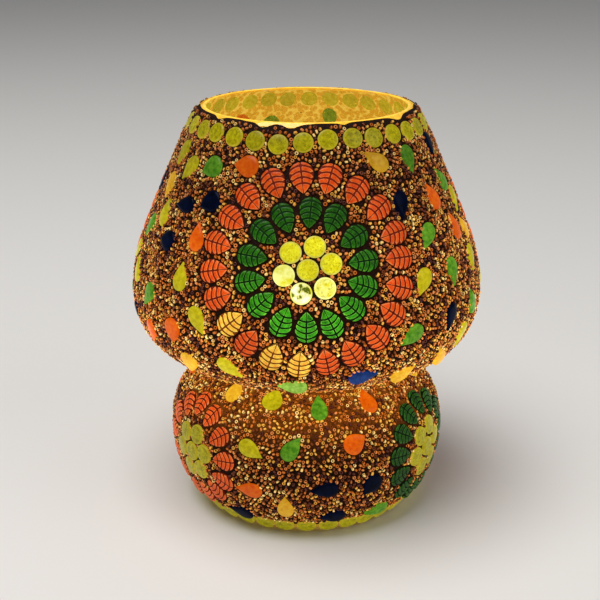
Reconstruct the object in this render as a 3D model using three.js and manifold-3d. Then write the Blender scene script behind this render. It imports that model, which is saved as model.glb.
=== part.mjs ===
// Mosaic glass table lamp: one blown glass body, shade and bowl in one piece, covered on the
// outside with glass discs, leaves, drops and seed beads, and a clamped E27 lamp fitting inside.
// Millimetres, +Z up, the origin at the centre of the foot ring's resting plane, front towards -Y.
import * as THREE from "three";
import { mergeVertices } from "three/addons/utils/BufferGeometryUtils.js";
import Module from "manifold-3d";

const wasm = await Module();
wasm.setup();

// ---------------------------------------------------------------- driving dimensions

const GAP = 0.3; // between pieces that touch on the real lamp
const ROUND = 24; // facets round the body
const SMALL_ROUND = 16; // facets round the fitting and the bulb
const FINE_ROUND = 12; // facets round the smallest pieces

// The outside of the glass, from the foot to the lip, as [radius, height].
const OUTSIDE = [
  [51, 0], [52.4, 3.6], [62.6, 11.4], [68, 20], [71.2, 30], [72.4, 41], [71.2, 53], [66.6, 63.8],
  [58.6, 71.2], [51.4, 76.4], [49.6, 80.4], [56, 84.8], [69.6, 89], [81, 96.6], [87.6, 106.5],
  [90.4, 120.5], [87.4, 141], [77.8, 166], [67.4, 190], [61.4, 203.4], [56.2, 213.4], [53.4, 216],
];
const LIP = { inner: 50.6, top: 216.8, round: 0.6 };
const GLASS_WALL = 2.6;
const FLOOR = { bottom: 8, top: 11, hole: 22, recess: 45.5, edge: 57.6 }; // the glass floor
const FOOT_INNER = 48;

// Each band of mosaic lies between two heights of the outside.
const FOOT_DISCS = [3.6, 11.4];
const BOWL_FIELD = [11.4, 71.2];
const NECK_BEADS = [71.2, 84.8];
const SHADE_FIELD = [84.8, 203.4];
const RIM_DISCS = [203.4, 213.4];
const MOSAIC = 2.2; // thickness of a tile or bead with its adhesive

// Medallions, by the height of the centre, the outer radius of each ring, and the azimuths.
const SHADE_MEDALLION = { height: 154.5, rings: [17.5, 35, 50.6], azimuths: [0, 120, 240] };
const BOWL_MEDALLION = { height: 41, rings: [15.8, 28.8], azimuths: [57, 180, 308] };

const CABLE = { azimuth: 120, height: 25, hole: 4.5, clear: 7, flange: 6.2, bore: 3, seat: 1.1 };

const PLATE = { radius: 36, thick: 1.2 };
const GASKET = 1;
const BRIDGE = { width: 16, thick: 1.5, foot: 20, leg: 10.5, rise: 11.4 };
const SCREW_AT = 14.5; // the clamp screws, left and right of the axis
const M4 = { radius: 2, hole: 2.4, head: 3.6, headHeight: 2.4, nutAcross: 7, nutHeight: 2.4 };
const M10 = { radius: 4.9, bore: 3.6, hole: 5.2, nutAcross: 14, nutHeight: 3 };

const TERMINAL_AT = 8; // the terminal screws, left and right of the axis
const TONGUE = { root: -9, bend: -5, crest: -2, tip: 4, width: 5, thick: 0.5, rise: 1.1 };
const E27 = { cap: 13.1, liner: 13.6, linerWall: 0.7 };
const BULB = { radius: 30, height: 108, wall: 0.8, neck: 11.8, capHeight: 25 };
const FILAMENT = { count: 4, radius: 1, spread: 7, below: 17, above: 15, lead: 0.45 };
const MAST = 0.9; // radius of the mast between the filaments

// ---------------------------------------------------------------- shapes

// A closed mesh as a manifold-3d solid, facing out.
function solid(geometry) {
  const bare = new THREE.BufferGeometry().setAttribute("position", geometry.getAttribute("position"));
  bare.setIndex(geometry.index);
  const merged = mergeVertices(bare, 1e-4);
  const triVerts = new Uint32Array(merged.index.array);
  const build = () =>
    new wasm.Manifold(
      new wasm.Mesh({ numProp: 3, vertProperties: merged.attributes.position.array, triVerts }),
    );
  const made = build();
  if (made.volume() > 0) return made;
  for (let i = 0; i < triVerts.length; i += 3) {
    [triVerts[i + 1], triVerts[i + 2]] = [triVerts[i + 2], triVerts[i + 1]];
  }
  return build();
}

// A manifold-3d solid as a three.js geometry.
function geometryOf(made) {
  const { vertProperties, triVerts, numProp } = made.getMesh();
  const points = new Float32Array((vertProperties.length / numProp) * 3);
  for (let i = 0; i < points.length / 3; i++) {
    points.set(vertProperties.subarray(i * numProp, i * numProp + 3), i * 3);
  }
  const geometry = new THREE.BufferGeometry();
  geometry.setAttribute("position", new THREE.BufferAttribute(points, 3));
  geometry.setIndex(new THREE.BufferAttribute(triVerts, 1));
  geometry.computeVertexNormals();
  return geometry;
}

// The profile [radius, height], turned round the Z axis. It closes on itself or ends on the axis.
function lathe(profile, facets = SMALL_ROUND) {
  const onAxis = profile[0][0] === 0 && profile.at(-1)[0] === 0;
  const points = onAxis ? profile : [...profile, profile[0]];
  const turned = new THREE.LatheGeometry(points.map(([r, z]) => new THREE.Vector2(r, z)), facets);
  return solid(turned.rotateX(Math.PI / 2));
}

function ring(inner, outer, bottom, top, facets = SMALL_ROUND) {
  return lathe([[inner, bottom], [outer, bottom], [outer, top], [inner, top]], facets);
}

function rod(radius, bottom, top, facets = SMALL_ROUND) {
  return lathe([[0, bottom], [radius, bottom], [radius, top], [0, top]], facets);
}

// A hexagonal nut round the Z axis.
function nut(across, bore, bottom, top) {
  return rod(across / Math.sqrt(3), bottom, top, 6).subtract(rod(bore, bottom - 1, top + 1));
}

function aside(made, x) {
  return made.translate([x, 0, 0]);
}

// ---------------------------------------------------------------- the body's outline

// The direction out of the glass at each point of the outside.
const OUTWARD = OUTSIDE.map((_, i) => {
  const [before, after] = [OUTSIDE[Math.max(i - 1, 0)], OUTSIDE[Math.min(i + 1, OUTSIDE.length - 1)]];
  return new THREE.Vector2(after[1] - before[1], before[0] - after[0]).normalize();
});

// The outside between two of its heights, moved out by a distance, with its ends pulled in.
function between([low, high], out, ends = 0) {
  const points = [];
  OUTSIDE.forEach(([r, z], i) => {
    if (z < low || z > high) return;
    const pull = z === low ? ends : z === high ? -ends : 0;
    const way = OUTWARD[i];
    points.push([r + way.x * out - way.y * pull, z + way.y * out + way.x * pull]);
  });
  return points;
}

// A layer of mosaic on the glass.
function layer(heights) {
  const [inner, outer] = [GAP, GAP + MOSAIC].map((out) => between(heights, out, GAP / 2));
  return lathe([...inner, ...outer.reverse()], ROUND);
}

// The point of the outside at a height, and the direction out of the glass there.
function surfaceAt(height) {
  const above = OUTSIDE.findIndex(([, z]) => z >= height);
  const [[r0, z0], [r1, z1]] = [OUTSIDE[above - 1], OUTSIDE[above]];
  const radius = r0 + ((r1 - r0) * (height - z0)) / (z1 - z0);
  const out = new THREE.Vector3(0, z0 - z1, r0 - r1).normalize();
  return { at: new THREE.Vector3(0, -radius, height), out };
}

// A round cutter that stands square to the glass at a height, on the front.
function cutter(height, radius, depth = 60, facets = 18) {
  const { at, out } = surfaceAt(height);
  const drum = new THREE.CylinderGeometry(radius, radius, depth, facets);
  const turn = new THREE.Quaternion().setFromUnitVectors(new THREE.Vector3(0, 1, 0), out);
  const centre = at.clone().addScaledVector(out, -depth / 4);
  return solid(drum.applyQuaternion(turn).translate(...centre));
}

function turned(made, degrees) {
  return made.rotate([0, 0, degrees]);
}

// The field of beads round the medallions.
function field(heights, { height, rings, azimuths }) {
  const hole = cutter(height, rings.at(-1) + GAP);
  return azimuths.reduce((made, azimuth) => made.subtract(turned(hole, azimuth)), layer(heights));
}

// One medallion's rings, from the middle out.
function medallionRings(heights, { height, rings }, azimuth) {
  const sheet = layer(heights);
  return rings.map((radius, i) => {
    const disc = sheet.intersect(turned(cutter(height, radius), azimuth));
    return i === 0 ? disc : disc.subtract(turned(cutter(height, rings[i - 1] + GAP), azimuth));
  });
}

// ---------------------------------------------------------------- glass and mosaic

function cableCut(radius) {
  return turned(cutter(CABLE.height, radius, 24, 12), CABLE.azimuth);
}

function glassBody() {
  const [foot, lip] = [OUTSIDE[0], OUTSIDE.at(-1)];
  const wall = between([foot[1], lip[1]], 0);
  const edge = [[lip[0] - LIP.round, LIP.top], [LIP.inner + LIP.round, LIP.top], [LIP.inner, lip[1]]];
  const inside = between([OUTSIDE[3][1], OUTSIDE.at(-2)[1]], -GLASS_WALL).reverse();
  const floor = [
    [FLOOR.edge + 2, FLOOR.top + 1], [FLOOR.edge, FLOOR.top], [FLOOR.hole, FLOOR.top],
    [FLOOR.hole, FLOOR.bottom], [FLOOR.recess, FLOOR.bottom], [FOOT_INNER, foot[1] + 3],
    [FOOT_INNER, foot[1]],
  ];
  return lathe([...wall, ...edge, ...inside, ...floor], ROUND).subtract(cableCut(CABLE.hole));
}

// The rubber grommet along its own Z axis, with the glass's outer face at 0.
function cableGrommet() {
  const { bore, hole, flange, seat } = CABLE;
  const inner = -GLASS_WALL - seat;
  return lathe([
    [bore, inner - 1.5], [flange, inner - 1.5], [flange, inner], [hole - GAP, inner],
    [hole - GAP, GAP], [flange, GAP], [flange, 1.6], [flange - 0.7, 2.1], [bore, 2.1],
  ]);
}

// ---------------------------------------------------------------- the lamp fitting

const gasketLowTop = FLOOR.bottom - GAP;
const plateLowTop = gasketLowTop - GASKET - GAP;
const plateLowBottom = plateLowTop - PLATE.thick;
const gasketHighBottom = FLOOR.top + GAP;
const plateHighBottom = gasketHighBottom + GASKET + GAP;
const plateHighTop = plateHighBottom + PLATE.thick;
const bridgeBottom = plateHighTop + GAP;
const bridgeTop = bridgeBottom + BRIDGE.rise;
const screwSeat = bridgeBottom + BRIDGE.thick + GAP;
const nutTop = plateLowBottom - GAP;
const holderBottom = bridgeTop + GAP;
const capTop = holderBottom + 12.4;
const coreBottom = capTop + GAP;
const coreTop = coreBottom + 3.4;
const linerBottom = coreTop + GAP;
const holderTop = linerBottom + 24;
const tongueBottom = coreTop + GAP;

function clampPlate(bottom) {
  const hole = rod(M4.hole, bottom - 1, bottom + 3, FINE_ROUND);
  const plain = rod(PLATE.radius, bottom, bottom + PLATE.thick, ROUND);
  return plain.subtract(aside(hole, -SCREW_AT)).subtract(aside(hole, SCREW_AT));
}

// The bent strap that carries the lamp holder over the plates, so that the lead can enter below.
function holderBridge() {
  const { width, thick, foot, leg } = BRIDGE;
  const half = [
    [foot, bridgeBottom], [foot, bridgeBottom + thick], [leg, bridgeBottom + thick], [leg, bridgeTop],
  ];
  const under = [[leg - thick, bridgeTop - thick], [leg - thick, bridgeBottom]];
  const left = ([x, z]) => [-x, z];
  const shape = new THREE.Shape(
    [...half, ...[...half].reverse().map(left), ...[...under].reverse().map(left), ...under].map(
      ([x, z]) => new THREE.Vector2(x, z),
    ),
  );
  const strap = new THREE.ExtrudeGeometry(shape, { depth: width, bevelEnabled: false });
  strap.rotateX(Math.PI / 2).translate(0, width / 2, 0);
  let made = solid(strap).subtract(rod(M10.hole, bridgeTop - 5, bridgeTop + 5));
  const hole = rod(M4.hole, bridgeBottom - 1, bridgeBottom + 4, FINE_ROUND);
  for (const x of [-SCREW_AT, SCREW_AT]) made = made.subtract(aside(hole, x));
  return made;
}

function clampScrew() {
  const foot = nutTop - M4.nutHeight - 0.5;
  return lathe([
    [0, foot], [M4.radius, foot], [M4.radius, screwSeat], [M4.head, screwSeat],
    [M4.head, screwSeat + M4.headHeight * 0.6], [M4.head * 0.6, screwSeat + M4.headHeight],
    [0, screwSeat + M4.headHeight],
  ], FINE_ROUND);
}

function holderCap() {
  const [wide, narrow] = [19.6, 8.5];
  return lathe([
    [M10.hole, holderBottom], [narrow, holderBottom], [narrow + 1, holderBottom + 3],
    [wide - 2, holderBottom + 7], [wide, holderBottom + 10], [wide, capTop],
    [wide - 2.2, capTop], [wide - 2.2, holderBottom + 10.6], [wide - 4, holderBottom + 9],
    [narrow, holderBottom + 5.4], [M10.hole, holderBottom + 5.4],
  ]);
}

function holderShell() {
  const [wide, lip, wall] = [19.6, 16.2, 2.2];
  const bottom = capTop + GAP;
  return lathe([
    [wide - wall, bottom], [wide, bottom], [wide, bottom + 5], [wide - 0.8, bottom + 6.2],
    [wide - 1.6, holderTop - 1], [wide - 2.4, holderTop], [lip - 0.8, holderTop],
    [lip - 0.8, holderTop - 2.2], [lip, holderTop - 2.6], [lip, bottom + 6],
  ]);
}

function holderCore() {
  const hole = rod(2.1, coreBottom - 1, coreTop + 1, FINE_ROUND);
  const plain = rod(15.8, coreBottom, coreTop);
  return plain.subtract(aside(hole, -TERMINAL_AT)).subtract(aside(hole, TERMINAL_AT));
}

function screwShell() {
  const { liner, linerWall } = E27;
  return ring(liner, liner + linerWall, linerBottom, holderTop - 3.2);
}

function terminalScrew() {
  const seat = coreBottom - GAP;
  return lathe([
    [0, seat - 2.4], [2, seat - 2.4], [2.9, seat - 1.8], [2.9, seat], [1.7, seat],
    [1.7, coreTop - 0.6], [0, coreTop - 0.6],
  ], FINE_ROUND);
}

// The sprung brass tongue that presses on the bulb's tip, bent up from its root.
function centreContact() {
  const { root, bend, crest, tip, width, thick, rise } = TONGUE;
  const under = [[root, 0], [bend, 0], [crest, rise], [tip, rise]];
  const over = under.map(([x, z]) => [x, z + thick]).reverse();
  const strip = new THREE.ExtrudeGeometry(
    new THREE.Shape([...under, ...over].map(([x, z]) => new THREE.Vector2(x, tongueBottom + z))),
    { depth: width, bevelEnabled: false },
  );
  return solid(strip.rotateX(Math.PI / 2).translate(0, width / 2, 0));
}

// ---------------------------------------------------------------- the bulb

const bulbTip = tongueBottom + TONGUE.rise + TONGUE.thick + GAP;
const contactTop = bulbTip + 1.8;
const capBottom = bulbTip + 5.6;
const capFloor = capBottom + 4;
const capEnd = bulbTip + BULB.capHeight;
const bulbTop = bulbTip + BULB.height;
const globeHeight = bulbTop - BULB.radius;
const stemTop = capEnd + 26;
const filamentHead = globeHeight + FILAMENT.above + GAP;

function bulbContact() {
  return lathe([
    [0, bulbTip], [3, bulbTip + 0.3], [4.4, bulbTip + 1.4], [4.4, contactTop], [0, contactTop],
  ], FINE_ROUND);
}

function bulbInsulator() {
  const bottom = contactTop + GAP;
  return lathe([[0, bottom], [4.6, bottom], [10.6, capBottom - GAP], [0, capBottom - GAP]]);
}

function bulbCap() {
  const { cap } = E27;
  return lathe([
    [0, capBottom], [10.8, capBottom], [cap, capBottom + 2], [cap, capEnd - 1], [cap + 0.2, capEnd],
    [cap - 0.6, capEnd], [cap - 0.6, capFloor], [0, capFloor],
  ]);
}

// The glass envelope: a neck that swells into a round globe, open at the neck's end in the cap.
function bulbEnvelope() {
  const { radius, wall, neck } = BULB;
  const swell = [[neck, capEnd - 5], [neck, capEnd + 2], [14, capEnd + 11], [19.5, capEnd + 20]];
  const globe = [-28, -8, 14, 36, 58, 76].map((degrees) => {
    const angle = THREE.MathUtils.degToRad(degrees);
    return [Math.cos(angle), Math.sin(angle)];
  });
  const sphere = (size) => globe.map(([x, z]) => [size * x, globeHeight + size * z]);
  const inside = swell.map(([r, z]) => [r - wall, z]);
  const skin = [...swell, ...sphere(radius), [0, bulbTop]];
  return lathe([[0, bulbTop - wall], ...sphere(radius - wall).reverse(), ...inside.reverse(), ...skin]);
}

function bulbStem() {
  const bottom = capFloor + GAP;
  return lathe([
    [0, bottom], [8, bottom], [6, bottom + 10], [3, bottom + 22], [2.4, stemTop - 4],
    [3.4, stemTop - 2], [1.6, stemTop], [0, stemTop],
  ], FINE_ROUND);
}

// The star of support wire at the filaments' head, on a mast from the stem.
function filamentSupport() {
  const wire = 1.1;
  const reach = FILAMENT.spread + 0.8;
  let made = rod(MAST, stemTop + GAP, filamentHead + wire, 10);
  for (let i = 0; i < FILAMENT.count; i++) {
    const arm = new THREE.BoxGeometry(reach, wire, wire).translate(reach / 2, 0, filamentHead + wire / 2);
    made = made.add(turned(solid(arm), (i * 360) / FILAMENT.count));
  }
  return made;
}

// The wires that carry the current from a collar on the stem to the filaments' feet.
function filamentLeads() {
  const collar = { inner: MAST + GAP, outer: MAST + 1.7, bottom: stemTop + GAP, thick: 1.4 };
  const { inner, outer, bottom, thick } = collar;
  let made = ring(inner, outer, bottom, bottom + thick, FINE_ROUND);
  const from = new THREE.Vector3((inner + outer) / 2, 0, bottom + thick / 2);
  const to = new THREE.Vector3(FILAMENT.spread, 0, globeHeight - FILAMENT.below - 2 * GAP);
  const way = to.clone().sub(from);
  const wire = new THREE.CylinderGeometry(FILAMENT.lead, FILAMENT.lead, way.length(), 8);
  const tilt = new THREE.Quaternion().setFromUnitVectors(new THREE.Vector3(0, 1, 0), way.normalize());
  const lead = solid(wire.applyQuaternion(tilt).translate(...from.add(to).divideScalar(2)));
  for (let i = 0; i < FILAMENT.count; i++) made = made.add(turned(lead, (i * 360) / FILAMENT.count));
  return made;
}

// ---------------------------------------------------------------- materials

const paint = (color, roughness, metalness = 0, opacity = 1) =>
  new THREE.MeshStandardMaterial({ color, roughness, metalness, opacity, transparent: opacity < 1 });

const MATERIALS = {
  glass: paint(0xf3ecc8, 0.08, 0, 0.35),
  beads: paint(0xa8672a, 0.3),
  yellow: paint(0xd2c53a, 0.25),
  green: paint(0x2f8f3a, 0.25),
  orange: paint(0xe4552a, 0.25),
  steel: paint(0xb9bcc0, 0.35, 1),
  brass: paint(0xc9a24a, 0.3, 1),
  black: paint(0x1c1b1a, 0.45),
  rubber: paint(0x202020, 0.8),
  porcelain: paint(0xefeade, 0.3),
  bulbGlass: paint(0xfff2cf, 0.05, 0, 0.35),
  phosphor: paint(0xffc24a, 0.5),
};

// ---------------------------------------------------------------- assembly

const lamp = new THREE.Group();
const glassware = new THREE.Group();
const mosaic = new THREE.Group();
const fitting = new THREE.Group();
const bulb = new THREE.Group();
lamp.add(glassware, mosaic, fitting, bulb);

function piece(group, name, made, material) {
  const mesh = new THREE.Mesh(geometryOf(made), MATERIALS[material]);
  mesh.name = name;
  group.add(mesh);
  return mesh;
}

piece(glassware, "glass_body", glassBody(), "glass");

piece(mosaic, "rim_disc_ring", layer(RIM_DISCS), "yellow");
piece(mosaic, "shade_bead_field", field(SHADE_FIELD, SHADE_MEDALLION), "beads");
piece(mosaic, "neck_bead_band", layer(NECK_BEADS), "beads");
const bowlField = field(BOWL_FIELD, BOWL_MEDALLION).subtract(cableCut(CABLE.clear));
piece(mosaic, "bowl_bead_field", bowlField, "beads");
piece(mosaic, "foot_disc_ring", layer(FOOT_DISCS), "yellow");

// A medallion's rings as pieces of their own, named from the middle out.
function addMedallions(place, heights, medallion, namesOf) {
  medallion.azimuths.forEach((azimuth, side) => {
    const names = namesOf(side);
    medallionRings(heights, medallion, azimuth).forEach((made, i) => {
      piece(mosaic, `${place}_medallion_${side + 1}_${names[i][0]}`, made, names[i][1]);
    });
  });
}

addMedallions("shade", SHADE_FIELD, SHADE_MEDALLION, () => [
  ["discs", "yellow"], ["inner_leaves", "green"], ["outer_leaves", "orange"],
]);
addMedallions("bowl", BOWL_FIELD, BOWL_MEDALLION, (side) => [
  ["discs", "yellow"], ["leaves", side === 0 ? "green" : "orange"],
]);

const gasket = (bottom) => ring(FLOOR.hole + 1, PLATE.radius, bottom, bottom + GASKET, ROUND);
piece(fitting, "gasket_upper", gasket(gasketHighBottom), "rubber");
piece(fitting, "gasket_lower", gasket(gasketLowTop - GASKET), "rubber");
piece(fitting, "base_plate_upper", clampPlate(plateHighBottom), "steel");
piece(fitting, "base_plate_lower", clampPlate(plateLowBottom), "steel");
piece(fitting, "holder_bridge", holderBridge(), "steel");
[-SCREW_AT, SCREW_AT].forEach((x, i) => {
  piece(fitting, `clamp_screw_${i + 1}`, clampScrew(), "steel").position.x = x;
  const bottom = nutTop - M4.nutHeight;
  piece(fitting, `clamp_nut_${i + 1}`, nut(M4.nutAcross, M4.hole, bottom, nutTop), "steel").position.x = x;
});
piece(fitting, "holder_nipple", ring(M10.bore, M10.radius, bridgeTop - 8.5, holderBottom + 7), "steel");
const nippleNutTop = bridgeTop - BRIDGE.thick - GAP;
const nippleNut = nut(M10.nutAcross, M10.hole, nippleNutTop - M10.nutHeight, nippleNutTop);
piece(fitting, "nipple_nut", nippleNut, "steel");
piece(fitting, "holder_cap", holderCap(), "black");
piece(fitting, "holder_shell", holderShell(), "black");
piece(fitting, "holder_core", holderCore(), "porcelain");
piece(fitting, "screw_shell", screwShell(), "brass");
piece(fitting, "centre_contact", centreContact(), "brass");
[-TERMINAL_AT, TERMINAL_AT].forEach((x, i) => {
  piece(fitting, `terminal_screw_${i + 1}`, terminalScrew(), "brass").position.x = x;
});

const cablePlace = surfaceAt(CABLE.height);
const cableTurn = new THREE.Group();
cableTurn.rotation.z = THREE.MathUtils.degToRad(CABLE.azimuth);
fitting.add(cableTurn);
const grommet = piece(cableTurn, "cable_grommet", cableGrommet(), "rubber");
grommet.position.copy(cablePlace.at);
grommet.quaternion.setFromUnitVectors(new THREE.Vector3(0, 0, 1), cablePlace.out);

piece(bulb, "bulb_contact", bulbContact(), "steel");
piece(bulb, "bulb_insulator", bulbInsulator(), "black");
piece(bulb, "bulb_cap", bulbCap(), "brass");
piece(bulb, "bulb_envelope", bulbEnvelope(), "bulbGlass");
piece(bulb, "bulb_stem", bulbStem(), "bulbGlass");
piece(bulb, "filament_support", filamentSupport(), "steel");
piece(bulb, "filament_leads", filamentLeads(), "steel");
for (let i = 0; i < FILAMENT.count; i++) {
  const angle = (i * 2 * Math.PI) / FILAMENT.count;
  const glow = rod(FILAMENT.radius, globeHeight - FILAMENT.below, globeHeight + FILAMENT.above, 8);
  const stick = piece(bulb, `filament_${i + 1}`, glow, "phosphor");
  stick.position.set(FILAMENT.spread * Math.cos(angle), FILAMENT.spread * Math.sin(angle), 0);
}

export default lamp;
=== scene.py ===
"""Looks of the mosaic glass table lamp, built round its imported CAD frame.

Lengths are millimetres until a mesh is made. Azimuths are degrees from the front (-Y), counted
towards +X. A place on the glass is (s, azimuth), where s is the distance up the outline.
"""

import math
import random

import bpy
import numpy as np
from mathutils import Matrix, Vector, noise as perlin
from mathutils.kdtree import KDTree

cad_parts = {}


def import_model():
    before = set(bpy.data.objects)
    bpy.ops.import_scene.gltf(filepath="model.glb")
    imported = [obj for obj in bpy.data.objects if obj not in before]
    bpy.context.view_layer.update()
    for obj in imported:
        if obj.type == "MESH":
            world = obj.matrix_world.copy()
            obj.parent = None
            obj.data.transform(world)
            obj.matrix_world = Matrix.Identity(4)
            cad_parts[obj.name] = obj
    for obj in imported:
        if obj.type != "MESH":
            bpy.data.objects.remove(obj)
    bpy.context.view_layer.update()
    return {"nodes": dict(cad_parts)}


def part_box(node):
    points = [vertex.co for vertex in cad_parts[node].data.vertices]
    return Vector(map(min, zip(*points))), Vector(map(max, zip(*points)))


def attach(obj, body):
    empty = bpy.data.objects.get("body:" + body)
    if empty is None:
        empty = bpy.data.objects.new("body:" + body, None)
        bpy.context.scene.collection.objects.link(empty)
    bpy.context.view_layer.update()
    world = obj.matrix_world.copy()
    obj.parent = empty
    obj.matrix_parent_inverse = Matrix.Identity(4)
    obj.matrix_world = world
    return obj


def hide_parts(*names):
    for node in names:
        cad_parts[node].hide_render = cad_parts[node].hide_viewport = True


MM = 0.001
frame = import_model()
NODES = frame["nodes"]
dice = random.Random(7)
scene = bpy.context.scene

# ---- the glass's outline

OUTSIDE = [
    (51, 0), (52.4, 3.6), (62.6, 11.4), (68, 20), (71.2, 30), (72.4, 41), (71.2, 53), (66.6, 63.8),
    (58.6, 71.2), (51.4, 76.4), (49.6, 80.4), (56, 84.8), (69.6, 89), (81, 96.6), (87.6, 106.5),
    (90.4, 120.5), (87.4, 141), (77.8, 166), (67.4, 190), (61.4, 203.4), (56.2, 213.4), (53.4, 216),
]
WALL = 2.6
MOSAIC_FOOT = 3.6  # the height of the lowest tile's lower edge


def catmull(points, steps):
    """A smooth line through points, and its end."""
    points = np.array(points, float)
    padded = np.vstack([2 * points[0] - points[1], points, 2 * points[-1] - points[-2]])
    t = np.arange(steps)[:, None] / steps
    runs = []
    for a, b, c, d in zip(padded, padded[1:], padded[2:], padded[3:]):
        cubic = -a + 3 * b - 3 * c + d
        runs.append(0.5 * (2 * b + (c - a) * t + (2 * a - 5 * b + 4 * c - d) * t**2 + cubic * t**3))
    return np.vstack(runs + [points[-1:]])


def directions(line):
    """The unit direction along a line at each of its points."""
    way = np.gradient(line, axis=0)
    return way / np.linalg.norm(way, axis=1)[:, None]


class Skin:
    """The outside of the glass."""

    def __init__(self, points, steps=24):
        self.line = catmull(points, steps)
        legs = np.linalg.norm(np.diff(self.line, axis=0), axis=1)
        self.s = np.concatenate([[0], np.cumsum(legs)])
        self.way = directions(self.line)
        self.length = self.s[-1]

    def s_at(self, height):
        return float(np.interp(height, self.line[:, 1], self.s))

    def radius(self, s):
        return np.interp(s, self.s, self.line[:, 0])

    def outline(self, s):
        """The radius and the height at s, and the outline's direction [r, z] there."""
        return [np.interp(s, self.s, part) for part in (*self.line.T, *self.way.T)]

    def frames(self, s, azimuth):
        """Places and the directions around, up and out there, for arrays of s and azimuth."""
        s, turn = np.broadcast_arrays(np.asarray(s, float), np.radians(azimuth))
        r, z, rise_r, rise_z = self.outline(s)
        sin, cos, none = np.sin(turn), np.cos(turn), np.zeros_like(turn)
        place = np.stack([r * sin, -r * cos, z], -1)
        around = np.stack([cos, sin, none], -1)
        up = np.stack([rise_r * sin, -rise_r * cos, rise_z], -1)
        out = np.stack([rise_z * sin, -rise_z * cos, -rise_r], -1)
        return place, around, up, out

    def profile(self, low, high, lift, count):
        """Points [r, z] of the outline between two values of s, lifted off the glass."""
        r, z, rise_r, rise_z = self.outline(np.linspace(low, high, count))
        return np.stack([r + rise_z * lift, z - rise_r * lift], -1)


skin = Skin(OUTSIDE)


def on_patch(height, azimuth, x, y):
    """The places that lie over (x, y) on the plane that touches the glass at height, azimuth."""
    centre, right, rise, _ = (v[0] for v in skin.frames([skin.s_at(height)], [azimuth]))
    x, y = np.asarray(x, float), np.asarray(y, float)
    s, turn = np.full_like(x, skin.s_at(height)), np.full_like(x, azimuth)
    for _ in range(12):
        place, around, up, _ = skin.frames(s, turn)
        miss_x, miss_y = x - (place - centre) @ right, y - (place - centre) @ rise
        turn = turn + np.degrees(miss_x / (skin.radius(s) * (around @ right)))
        s = s + miss_y / (up @ rise)
    return s, turn


# ---- meshes

class Form:
    """Vertices and faces in millimetres; marks number the faces' materials."""

    def __init__(self, verts, faces, marks=()):
        self.verts = np.array(verts, float)
        self.loops = np.array([i for face in faces for i in face], np.int32)
        self.totals = np.array([len(face) for face in faces], np.int32)
        self.marks = np.array(marks, int)


def stack(rings, loop=False, marks=None):
    """A form through equal rings, its ends closed or joined; marks gives each strip's material."""
    count, size = len(rings), len(rings[0])
    marks = marks or [0] * count
    faces, numbers = [], []
    for i in range(count if loop else count - 1):
        a, b = i * size, (i + 1) % count * size
        faces += [(a + j, a + (j + 1) % size, b + (j + 1) % size, b + j) for j in range(size)]
        numbers += [marks[i]] * size
    if not loop:
        faces += [tuple(reversed(range(size))), tuple(range((count - 1) * size, count * size))]
        numbers += [numbers[0], numbers[-1]]
    return Form(np.vstack(rings), faces, numbers)


def circle(radius, size=28, phase=0):
    """Points [x, y] round a circle; radius may also be one for each point."""
    turn = 2 * np.pi * (np.arange(size) + phase) / size
    return np.column_stack([radius * np.cos(turn), radius * np.sin(turn)])


def turned(profile, size):
    """The rings of a profile [r, z] turned round the Z axis."""
    return [np.column_stack([circle(r, size), np.full(size, z)]) for r, z in profile]


def put(name, data):
    """A new object in the scene."""
    obj = bpy.data.objects.new(name, data)
    scene.collection.objects.link(obj)
    return obj


def make(name, form, materials, body, slot, replaces=()):
    """A smooth mesh object from a form, riding on a body."""
    mesh = bpy.data.meshes.new(name)
    mesh.vertices.add(len(form.verts))
    mesh.vertices.foreach_set("co", (form.verts * MM).astype(np.float32).ravel())
    mesh.loops.add(len(form.loops))
    mesh.loops.foreach_set("vertex_index", form.loops)
    mesh.polygons.add(len(form.totals))
    starts = np.concatenate([[0], np.cumsum(form.totals)[:-1]]).astype(np.int32)
    mesh.polygons.foreach_set("loop_start", starts)
    mesh.polygons.foreach_set("loop_total", form.totals)
    for material in materials:
        mesh.materials.append(material)
    mesh.polygons.foreach_set("material_index", form.marks.astype(np.int32))
    mesh.update(calc_edges=True)
    mesh.validate()
    mesh.shade_smooth()
    piece = put(name, mesh)
    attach(piece, body)
    if replaces:
        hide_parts(*replaces)


class Batch:
    """Stamps of forms that become one piece."""

    def __init__(self):
        self.parts, self.base = [], 0

    def stamp(self, form, origin, axes, scale=1.0, look=(0, 1), marks=None):
        """Adds a form at each origin (n, 3), turned to axes (n, 3, 3), whose rows are its X, Y, Z.

        look gives the piece's material for each of the form's marks, or marks says it by face.
        """
        origin, axes = np.atleast_2d(origin), np.reshape(axes, (-1, 3, 3))
        scale = np.broadcast_to(np.asarray(scale, float), (len(origin),))
        placed = np.einsum("vi,nij->nvj", form.verts, axes) * scale[:, None, None] + origin[:, None]
        count, size = placed.shape[:2]
        steps = self.base + size * np.arange(count, dtype=np.int32)
        loops, totals = form.loops + steps[:, None], np.tile(form.totals, count)
        if marks is None:
            marks = np.tile(np.array(look)[form.marks], count)
        self.parts.append((placed.reshape(-1, 3), loops.ravel(), totals, marks.ravel()))
        self.base += count * size

    def build(self, name, materials, slot, replaces=()):
        form = Form([], [])
        form.verts, form.loops, form.totals, form.marks = map(np.concatenate, zip(*self.parts))
        make(name, form, materials, "lamp", slot, replaces)


def lathe(name, profile, materials, slot, replaces, size=96, marks=None):
    """A turned part of the lamp with a closed profile [r, z]; marks gives each strip's material."""
    form = stack(turned(profile, size), loop=True, marks=marks)
    make(name, form, materials, "lamp", slot, replaces)


# ---- materials

def linear(r, g, b):
    """An sRGB colour, 0 to 255, as linear RGBA."""
    shares = (((c / 255 + 0.055) / 1.055) ** 2.4 if c > 10 else c / 3294.6 for c in (r, g, b))
    return (*shares, 1)


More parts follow.
